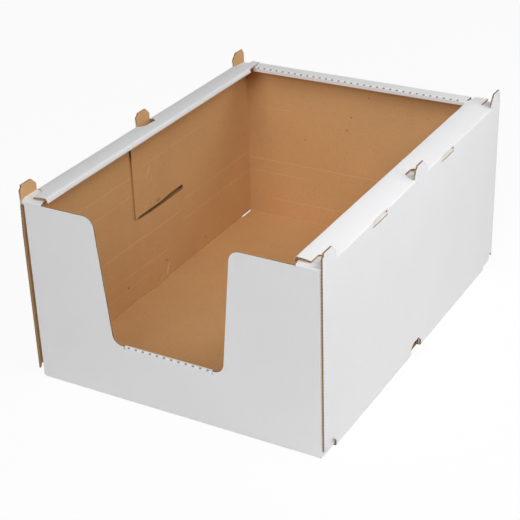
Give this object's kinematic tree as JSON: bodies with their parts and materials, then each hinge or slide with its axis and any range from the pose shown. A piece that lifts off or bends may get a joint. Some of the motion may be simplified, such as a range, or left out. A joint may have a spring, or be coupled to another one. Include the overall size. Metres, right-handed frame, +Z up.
{
  "type": "corrugated shelf bin",
  "caption": "Open-front corrugated cardboard shelf bin folded from one blank, with a low mouth, double locked sides, rolled rims and stacking tabs.",
  "frame": {"origin": "centre of the footprint, on the surface that the bin stands on", "axes": "+Z up, -Y towards the mouth, +X to the right of a person who faces the mouth, and depth along Y"},
  "size_m": [0.302, 0.4, 0.198],
  "materials": {
    "board": "matt, white liner outside and brown kraft liner inside"
  },
  "bodies": {
    "root": {"folded_blank": "board"}
  },
  "joints": []
}
